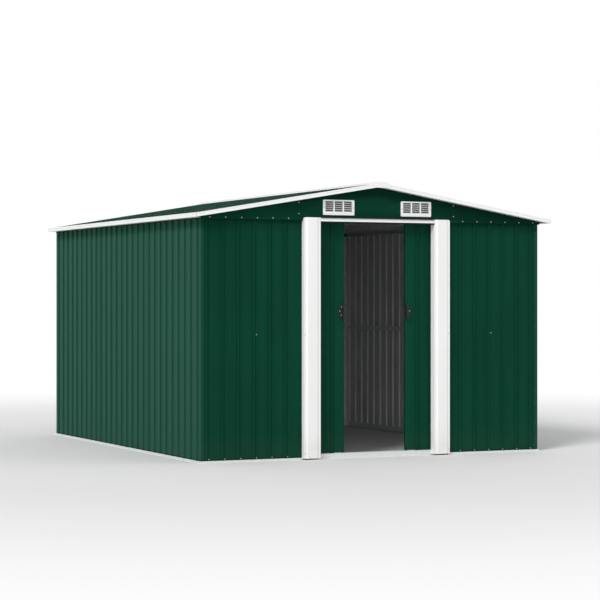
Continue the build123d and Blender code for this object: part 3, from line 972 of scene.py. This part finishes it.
class Fixings(Maker):
    """Screws of one sub-assembly, each driven onto the surface of a CAD node."""

    # Cosine to the driving direction above which a face is the side of a rib or a fold
    SQUARE_ON: ClassVar[float] = -0.9
    surfaces: ClassVar[dict[str, BVHTree]] = {}

    def __init__(self, name: str, body: str, head: Head, material: bpy.types.Material) -> None:
        """Open an empty set.

        Args:
            name: The piece's name.
            body: The body it moves with.
            head: The kind of screw.
            material: Its material.
        """
        super().__init__(name, body, "galvanised_frame", material)
        self.head = head.shape()
        self.driven = 0

    @classmethod
    def surface(cls, node: str) -> BVHTree:
        """Find the surface of a CAD node.

        Args:
            node: The node's name.

        Returns:
            A tree to cast rays at.
        """
        if node not in cls.surfaces:
            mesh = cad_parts[node].data
            cls.surfaces[node] = BVHTree.FromPolygons(
                [vertex.co for vertex in mesh.vertices],
                [tuple(face.vertices) for face in mesh.polygons])
        return cls.surfaces[node]

    def drive(self, node: str, start: Point, along: Point) -> None:
        """Drive one screw onto a node.

        Args:
            node: The CAD node it holds.
            start: A point outside the node.
            along: The direction it is driven in.
        """
        way = Vector(along).normalized()
        place, normal, _, _ = self.surface(node).ray_cast(Vector(start), way)
        if place is None:
            LOG.warning("%s: no surface of %s under %s", self.name, node, tuple(start))
            return
        if normal.dot(way) > self.SQUARE_ON:
            normal = -way
        turn = normal.to_track_quat("Z", "Y").to_matrix().to_4x4()
        self.stamp(self.head, Matrix.Translation(place) @ turn)
        self.driven += 1

    def finish(self) -> None:
        """Close the set."""
        self.head.free()
        LOG.info("%s holds %d screws", self.name, self.driven)
        self.close()


def steps(first: float, pitch: float, count: int) -> Places:
    """Places at an even pitch, from the first one on."""
    return tuple(first + pitch * index for index in range(count))


# Places along X of the screws at the foot and the head of the back wall
BACK_ROW = steps(-1.134, RIB_PITCH, 22)


def put_on(node: bpy.types.Object, material: bpy.types.Material) -> None:
    """Give a CAD node a material all over.

    Args:
        node: The node's object.
        material: The material.
    """
    if not node.material_slots:
        node.data.materials.append(material)
        return
    for slot in node.material_slots:
        slot.link = "OBJECT"
        slot.material = material


# Sub-assemblies


@dataclass
class Assembly:
    """One sub-assembly, with the finish of its CAD nodes by the starts of their names."""

    coats: ClassVar[dict[str, tuple[str, ...]]] = {}

    finishes: Finishes

    def build(self) -> None:
        """Add the pieces that the sub-assembly has besides its CAD nodes."""
        raise NotImplementedError

    def dress(self) -> None:
        """Give the sub-assembly's CAD nodes their finish."""
        for finish, starts in self.coats.items():
            for name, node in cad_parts.items():
                if name.startswith(starts):
                    put_on(node, self.finishes[finish])

    def screws(self, name: str, head: Head = Head.SHEET, finish: str = "weathered_screws",
               body: str = "shell") -> Fixings:
        """Open a set of screws.

        Args:
            name: The set's name.
            head: The kind of screw.
            finish: The name of its finish.
            body: The body it moves with.

        Returns:
            The empty set.
        """
        return Fixings(name, body, head, self.finishes[finish])


@dataclass
class Skeleton(Assembly):
    """The base rails, posts, wall rails and roof beams."""

    coats = {
        "galvanised_track_steel": ("base_rail",),
        "galvanised_frame_steel": ("corner_posts", "mid_rail", "top_rail", "purlins",
                                   "ridge_beam"),
    }

    side_line: float = 1.204
    side_bolts: Places = (-1.20, -0.40, 0.40, 1.20)
    back_line: float = 1.469
    back_bolts: Places = (-0.80, 0.0, 0.80)
    above_rail: float = 0.012

    def build(self) -> None:
        """Drive the anchor bolts of the base rails."""
        bolts = self.screws("anchor_bolts", Head.BOLT)
        for x in (-self.side_line, self.side_line):
            for y in self.side_bolts:
                bolts.drive("base_rails_side", (x, y, self.above_rail), FROM_ABOVE)
        for x in self.back_bolts:
            bolts.drive("base_rail_back", (x, self.back_line, self.above_rail), FROM_ABOVE)
        bolts.finish()


@dataclass
class Walls(Assembly):
    """The ribbed walls with their corner turns."""

    coats = {
        "green_side_sheet": ("left_wall", "right_wall"),
        "green_end_sheet": ("front_wall", "back_wall"),
    }

    foot_row: float = 0.022
    middle_row: float = 0.802
    side_head_row: float = 1.526
    front_firsts: Places = (-1.170, 0.625)
    front_middles: Places = (-0.846, 0.862)
    front_count: int = 6
    back_places: Places = BACK_ROW
    side_first: float = -1.325
    side_count: int = 26

    def build(self) -> None:
        """Drive the screws of the walls."""
        self.front_screws()
        self.back_screws()
        self.side_screws()

    def front_screws(self) -> None:
        """Screws along the foot of the two front walls and half way up."""
        screws = self.screws("front_wall_screws")
        for (name, _), first, middle in zip(SIDES, self.front_firsts, self.front_middles):
            node = f"front_wall_{name}"
            for x in steps(first, RIB_PITCH, self.front_count):
                screws.drive(node, (x, -REACH, self.foot_row), FROM_FRONT)
            screws.drive(node, (middle, -REACH, self.middle_row), FROM_FRONT)
        screws.finish()

    def back_screws(self) -> None:
        """Screws along the foot of the back wall and half way up."""
        screws = self.screws("back_wall_screws")
        for row, z in ((self.back_places, self.foot_row),
                       (self.back_places[EVERY_FOURTH], self.middle_row)):
            for x in row:
                screws.drive("back_wall", (x, REACH, z), FROM_BACK)
        screws.finish()

    def side_screws(self) -> None:
        """Screws along the foot of the side walls, half way up and under the eaves."""
        screws = self.screws("side_wall_screws", Head.SMALL, "green_screws")
        places = steps(self.side_first, RIB_PITCH, self.side_count)
        rows = ((places, self.foot_row), (places[EVERY_FOURTH], self.middle_row),
                (places[EVERY_SECOND], self.side_head_row))
        for name, side in SIDES:
            for row, z in rows:
                for y in row:
                    screws.drive(f"{name}_wall", (side * REACH, y, z), (-side, 0.0, 0.0))
        screws.finish()


@dataclass
class Gables(Assembly):
    """The gable sheets and their louvred vents.

    Attributes:
        joint: Distance of the joints' screws from the middle.
        middle_reach: Half the width that the middle sheet covers.
        vent_middle: Distance of each vent's middle from the shed's.
        screen_low, screen_high: Ends of a screen above the vent's foot.
        screen_least_face: Area over which a face of a screen is one of its broad ones.
    """

    coats = {
        "green_gable_sheet": ("front_gable", "back_gable"),
        "white_vent_plastic": ("front_vents", "back_vents"),
    }

    head_row: float = 1.5405
    front_places: Places = (*steps(-1.174, RIB_PITCH, 6), *steps(0.634, RIB_PITCH, 6))
    front_joint_rows: Places = (1.572, 1.644)
    back_places: Places = BACK_ROW
    back_joint_rows: Places = (1.590, 1.644)
    joint: float = 0.5625
    middle_reach: float = 0.575
    vent_middle: float = 0.281
    vent_height: float = 1.6155
    vent_screw_reach: float = 0.1045
    screen_half: float = 0.097
    screen_low: float = 0.020
    screen_high: float = 0.091
    screen_gauge: float = 0.0012
    screen_edge: float = 0.0003
    screen_rim: float = 0.004
    screen_recess: float = 0.0003
    screen_least_face: float = 0.005

    def build(self) -> None:
        """Drive the screws of both gables and put the screens behind the vents."""
        self.sheet_screws()
        self.vent_screws()
        self.vent_screens()

    def sheet_screws(self) -> None:
        """Screws along the lower edge of each gable and up its joints."""
        for (end, side, along), places, rows in zip(
                ENDS, (self.front_places, self.back_places),
                (self.front_joint_rows, self.back_joint_rows)):
            screws = self.screws(f"{end}_gable_screws")
            for x in places:
                sheet = "middle" if abs(x) < self.middle_reach else "wings"
                start = (x, side * REACH, self.head_row)
                screws.drive(f"{end}_gable_{sheet}", start, along)
            for x in (-self.joint, self.joint):
                for z in rows:
                    screws.drive(f"{end}_gable_middle", (x, side * REACH, z), along)
            screws.finish()

    def vent_screws(self) -> None:
        """Two small screws in the side borders of every vent."""
        screws = self.screws("vent_screws", Head.SMALL)
        for end, side, along in ENDS:
            for x in (-self.vent_middle, self.vent_middle):
                for reach in (-self.vent_screw_reach, self.vent_screw_reach):
                    start = (x + reach, side * REACH, self.vent_height)
                    screws.drive(f"{end}_vents", start, along)
        screws.finish()

    def vent_screens(self) -> None:
        """A framed mesh over the inner end of every vent."""
        mesh = self.finishes["dark_screen_mesh"]
        screens = Maker("vent_screens", "shell", "black_handle", mesh)
        for end, side, _ in ENDS:
            low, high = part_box(f"{end}_vents")
            near = high[1] if side < 0 else low[1] - self.screen_gauge
            foot, head = low[2] + self.screen_low, low[2] + self.screen_high
            for x in (-self.vent_middle, self.vent_middle):
                panel = rounded_box((x - self.screen_half, near, foot),
                                    (x + self.screen_half, near + self.screen_gauge, head),
                                    self.screen_edge)
                broad = [face for face in panel.faces
                         if face.calc_area() > self.screen_least_face]
                bmesh.ops.inset_individual(panel, faces=broad, thickness=self.screen_rim,
                                           depth=-self.screen_recess)
                screens.take(panel)
        screens.close()


@dataclass
class Roof(Assembly):
    """The roof sheets, their trims and the ridge cap."""

    coats = {
        "green_roof_sheet": ("roof_left", "roof_right"),
        "white_trim_coat": ("ridge_cap", "front_rake", "back_rake", "eave_trim"),
    }

    pan_first: float = -1.404
    pan_count: int = 27
    purlin_row: float = 0.6315
    eave_row: float = 1.207
    cap_row: float = 0.060
    rake_row: float = 1.4987
    rake_first: float = 0.15
    rake_pitch: float = 0.18
    rake_count: int = 6

    def build(self) -> None:
        """Drive the screws of the roof."""
        self.sheet_screws()
        self.trim_screws()

    def sheet_screws(self) -> None:
        """Screws through the pans of the roof sheets into the purlins and eaves."""
        screws = self.screws("roof_screws")
        places = steps(self.pan_first, RIB_PITCH, self.pan_count)
        for name, side in SIDES:
            for row, x in ((places[EVERY_SECOND], self.purlin_row), (places, self.eave_row)):
                for y in row:
                    screws.drive(f"roof_{name}", (side * x, y, REACH), FROM_ABOVE)
        screws.finish()

    def trim_screws(self) -> None:
        """Screws through the top flanges of the rake trims and the ridge cap."""
        screws = self.screws("trim_screws", Head.SMALL)
        cap_places = steps(self.pan_first, RIB_PITCH, self.pan_count)[EVERY_SECOND]
        for _, side in SIDES:
            for x in steps(self.rake_first, self.rake_pitch, self.rake_count):
                for end, way, _ in ENDS:
                    start = (side * x, way * self.rake_row, REACH)
                    screws.drive(f"{end}_rake_trims", start, FROM_ABOVE)
            for y in cap_places:
                screws.drive("ridge_cap", (side * self.cap_row, y, REACH), FROM_ABOVE)
        screws.finish()


@dataclass
class Doorway(Assembly):
    """The white jambs and header, and the tracks of the doors.

    Attributes:
        seal_half: Half the length of both seals.
        seal_proud: How far the upper seal stands out before the header.
        seal_lap: How far it covers the header's top edge.
        seal_gap: Gap between it and the gable.
        lower_seal: Front and back of the lower seal, from the header's front.
    """

    coats = {
        "white_jamb_coat": ("door_jamb",),
        "white_header_coat": ("door_header",),
        "galvanised_track_steel": ("bottom_track", "door_top_track"),
    }

    edge_screw: float = 0.523
    jamb_rows: Places = (0.800, 0.040)
    seal_half: float = 0.412
    seal_height: float = 0.010
    seal_edge: float = 0.0012
    seal_proud: float = 0.0012
    seal_lap: float = 0.0020
    seal_gap: float = 0.0006
    lower_seal: Places = (0.0015, 0.0065)

    def build(self) -> None:
        """Drive the screws of the jambs and put on the seals."""
        screws = self.screws("jamb_screws", Head.SMALL)
        for name, side in SIDES:
            for z in self.jamb_rows:
                start = (side * self.edge_screw, -REACH, z)
                screws.drive(f"door_jamb_{name}", start, FROM_FRONT)
        screws.finish()
        self.seals()

    def seals(self) -> None:
        """Dark rubber strips over the header's top edge, up to the gable, and under its front
        edge, which paint the shadow lines above and below the header.
        """
        low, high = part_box("door_header")
        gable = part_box("front_gable_middle")[0][1]
        near, far = (low[1] + reach for reach in self.lower_seal)
        rubber = self.finishes["black_shadow_seal_rubber"]
        seals = Maker("header_shadow_seals", "shell", "black_handle", rubber)
        for start, end, foot in (
                (low[1] - self.seal_proud, gable - self.seal_gap, high[2] - self.seal_lap),
                (near, far, low[2] - self.seal_height)):
            seals.take(rounded_box((-self.seal_half, start, foot),
                                   (self.seal_half, end, foot + self.seal_height),
                                   self.seal_edge))
        seals.close()


@dataclass
class Door(Assembly):
    """One sliding leaf with its handle, hangers and gliders.

    Attributes:
        side: The side of the doorway it closes.
        direction: The way along X from its middle to its leading edge.
        edge: Place along X of that edge.
        handle_height: Height of the handle's middle.
        handle_screws: Each screw's places from the leading edge and the handle's middle.
        screw_columns: Places of the rails' screws from the leading edge.
        rail_inset: Height of the outer rails' screws from the panel's ends.
        runners: Both ends of each foot and hanger, from the leading edge.
        shoe: Lowest and highest Y and Z of a shoe, from the corner of the foot.
        cap: Lowest and highest Y and Z of a cap, from the top of the hanger's middle.
        glider_lap: How far shoes and caps reach past the metal at each end.
        glider_edge: Radius of their edges.
    """

    side: str
    direction: float
    edge: float
    handle_height: float = 0.942
    handle_screws: Profile = ((-0.0195, 0.034), (-0.0325, 0.007), (-0.0195, -0.019))
    screw_columns: Places = (-0.036, -0.144, -0.252, -0.360)
    rail_inset: float = 0.017
    runners: Profile = ((-0.071, -0.021), (-0.418, -0.368))
    shoe: Profile = ((-0.003, 0.001), (0.012, 0.015))
    cap: Profile = ((-0.0175, -0.004), (0.0175, 0.003))
    glider_lap: float = 0.002
    glider_edge: float = 0.0018

    @property
    def body(self) -> str:
        """The body that the leaf moves with."""
        return f"{self.side}_door"

    def node(self, part: str) -> str:
        """The name of one of the leaf's CAD nodes."""
        return f"door_{part}_{self.side}"

    def at(self, inward: float) -> float:
        """Place along X at a distance from the leading edge, negative into the leaf."""
        return self.edge + self.direction * inward

    def dress(self) -> None:
        """Give the leaf its finishes."""
        steel = dict.fromkeys(("bottom_rail", "mid_rail", "top_rail"), "galvanised_frame_steel")
        coats = {"panel": "green_door_sheet", "handle": "black_handle_plastic", **steel}
        for part, finish in coats.items():
            put_on(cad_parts[self.node(part)], self.finishes[finish])

    def build(self) -> None:
        """Drive the screws of the leaf and put on its gliders."""
        screws = self.screws(f"door_handle_screws_{self.side}", Head.SMALL, "bright_screws",
                             self.body)
        for inward, up in self.handle_screws:
            start = (self.at(inward), -REACH, self.handle_height + up)
            screws.drive(self.node("handle"), start, FROM_FRONT)
        screws.finish()
        self.rail_screws()
        self.gliders()

    def rail_screws(self) -> None:
        """Screws through the panel into its three rails."""
        screws = self.screws(f"door_rail_screws_{self.side}", Head.SMALL, "green_screws",
                             self.body)
        foot, head = (corner[2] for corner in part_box(self.node("panel")))
        low, high = (corner[2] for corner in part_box(self.node("mid_rail")))
        for z in (foot + self.rail_inset, (low + high) / 2, head - self.rail_inset):
            for inward in self.screw_columns:
                screws.drive(self.node("panel"), (self.at(inward), -REACH, z), FROM_FRONT)
        screws.finish()

    def gliders(self) -> None:
        """Plastic shoes round the sliding feet, and caps on the hangers."""
        plastic = self.finishes["grey_glider_plastic"]
        gliders = Maker(f"door_gliders_{self.side}", self.body, "black_handle", plastic)
        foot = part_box(self.node("bottom_rail"))[0]
        low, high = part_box(self.node("top_rail"))
        seats = ((foot[1], foot[2], self.shoe), ((low[1] + high[1]) / 2, high[2], self.cap))
        for near, far in self.runners:
            start, end = sorted((self.at(near), self.at(far)))
            for y, z, (least, most) in seats:
                gliders.take(rounded_box(
                    (start - self.glider_lap, y + least[0], z + least[1]),
                    (end + self.glider_lap, y + most[0], z + most[1]), self.glider_edge))
        gliders.close()


# Stage


@dataclass(frozen=True)
class PaleFloor:
    """Pale floor that fades to white away from the shed."""

    tint: Colour = (0.80, 0.795, 0.785)
    dimmest: float = 0.97
    near: float = 3.6
    far: float = 8.5
    half_size: float = 60.0

    def build(self) -> None:
        """Lay the floor."""
        shape = bmesh.new()
        bmesh.ops.create_grid(shape, x_segments=8, y_segments=8, size=self.half_size)
        data = bpy.data.meshes.new("studio_floor")
        shape.to_mesh(data)
        shape.free()
        data.materials.append(self.material())
        floor = in_scene("studio_floor", data)

    def material(self) -> bpy.types.Material:
        """Make the floor's material, which holds the shadow and glows white far away.

        Returns:
            The finished material.
        """
        material = bpy.data.materials.new("pale_floor")
        board = Board(emptied(material))
        place = board.add("ShaderNodeTexCoord").outputs["Object"]
        dim = tuple(self.dimmest * part for part in self.tint)
        tone = board.mix(board.noise(place, 0.8, detail=3.0), dim, self.tint)
        matt = board.combine("ShaderNodeBsdfDiffuse", (tone,))[0]
        glow = board.add("ShaderNodeEmission").outputs[0]
        seen = board.add("ShaderNodeLightPath").outputs["Is Camera Ray"]
        away = board.spread(board.measure("LENGTH", place), self.near, self.far)
        blend = board.combine("ShaderNodeMixShader", (board.times(seen, away), matt, glow))[0]
        board.combine("ShaderNodeOutputMaterial", (blend,))
        return material


@dataclass(frozen=True)
class Lamp:
    """One soft sun-like lamp."""

    name: str
    towards: Point
    strength: float
    softness: float
    away: float = 8.0

    def build(self) -> None:
        """Hang the lamp."""
        data = bpy.data.lights.new(self.name, "SUN")
        data.energy = self.strength
        data.angle = math.radians(self.softness)
        lamp = in_scene(self.name, data)
        lamp.rotation_mode = "QUATERNION"
        lamp.rotation_quaternion = Vector(self.towards).to_track_quat("Z", "Y")
        lamp.location = Vector(self.towards) * self.away


@dataclass(frozen=True)
class Studio:
    """The world, the lamps and the floor."""

    sky: Colour = (0.96, 0.98, 1.0)
    ambient: float = 0.52
    white: Colour = (1.0, 1.0, 1.0)
    lamps: tuple[Lamp, ...] = (
        Lamp("key_lamp", (-0.64, -0.48, 0.60), 1.85, 20.0),
        Lamp("front_lamp", (-0.40, -0.88, 0.22), 0.42, 34.0),
        Lamp("fill_lamp", (0.78, -0.35, 0.45), 0.40, 60.0),
        Lamp("back_lamp", (0.30, 0.85, 0.42), 0.45, 60.0),
    )

    def build(self) -> None:
        """Light the shed before a background that looks white."""
        world = bpy.data.worlds.new("studio_world")
        bpy.context.scene.world = world
        board = Board(emptied(world))
        path = board.add("ShaderNodeLightPath").outputs
        seen = board.math("MAXIMUM", path["Is Camera Ray"], path["Is Transmission Ray"])
        seen = board.math("MAXIMUM", seen, path["Is Glossy Ray"])
        dim = board.combine("ShaderNodeBackground", (self.sky, self.ambient))[0]
        bright = board.combine("ShaderNodeBackground", (self.white, 1.0))[0]
        blend = board.combine("ShaderNodeMixShader", (seen, dim, bright))[0]
        board.combine("ShaderNodeOutputWorld", (blend,))
        for lamp in self.lamps:
            lamp.build()
        PaleFloor().build()
        bpy.context.scene.view_settings.view_transform = "Standard"


@dataclass(frozen=True)
class Viewpoint:
    """The camera, where the photograph was taken from."""

    place: Point = (-5.861, -12.960, 1.021)
    tilt: float = 90.0
    turn: float = -24.78
    lens: float = 119.16
    sensor: float = 36.0
    reach: float = 200.0

    def build(self) -> None:
        """Set up the camera."""
        data = bpy.data.cameras.new("photo_camera")
        data.lens = self.lens
        data.sensor_width = self.sensor
        data.clip_end = self.reach
        camera = in_scene("photo_camera", data)
        camera.location = self.place
        camera.rotation_euler = (math.radians(self.tilt), 0.0, math.radians(self.turn))
        bpy.context.scene.camera = camera


def main() -> None:
    """Dress the shed, add its pieces and light it."""
    logging.basicConfig(level=logging.INFO, format="%(message)s")
    Viewpoint().build()
    finishes = Finishes()
    assemblies = (
        Skeleton(finishes),
        Walls(finishes),
        Gables(finishes),
        Roof(finishes),
        Doorway(finishes),
        Door(finishes, "left", 1.0, -0.211),
        Door(finishes, "right", -1.0, 0.233),
    )
    for assembly in assemblies:
        assembly.dress()
        assembly.build()
        LOG.info("assembly %s is done", type(assembly).__name__)
    Studio().build()


if __name__ == "__main__":
    main()
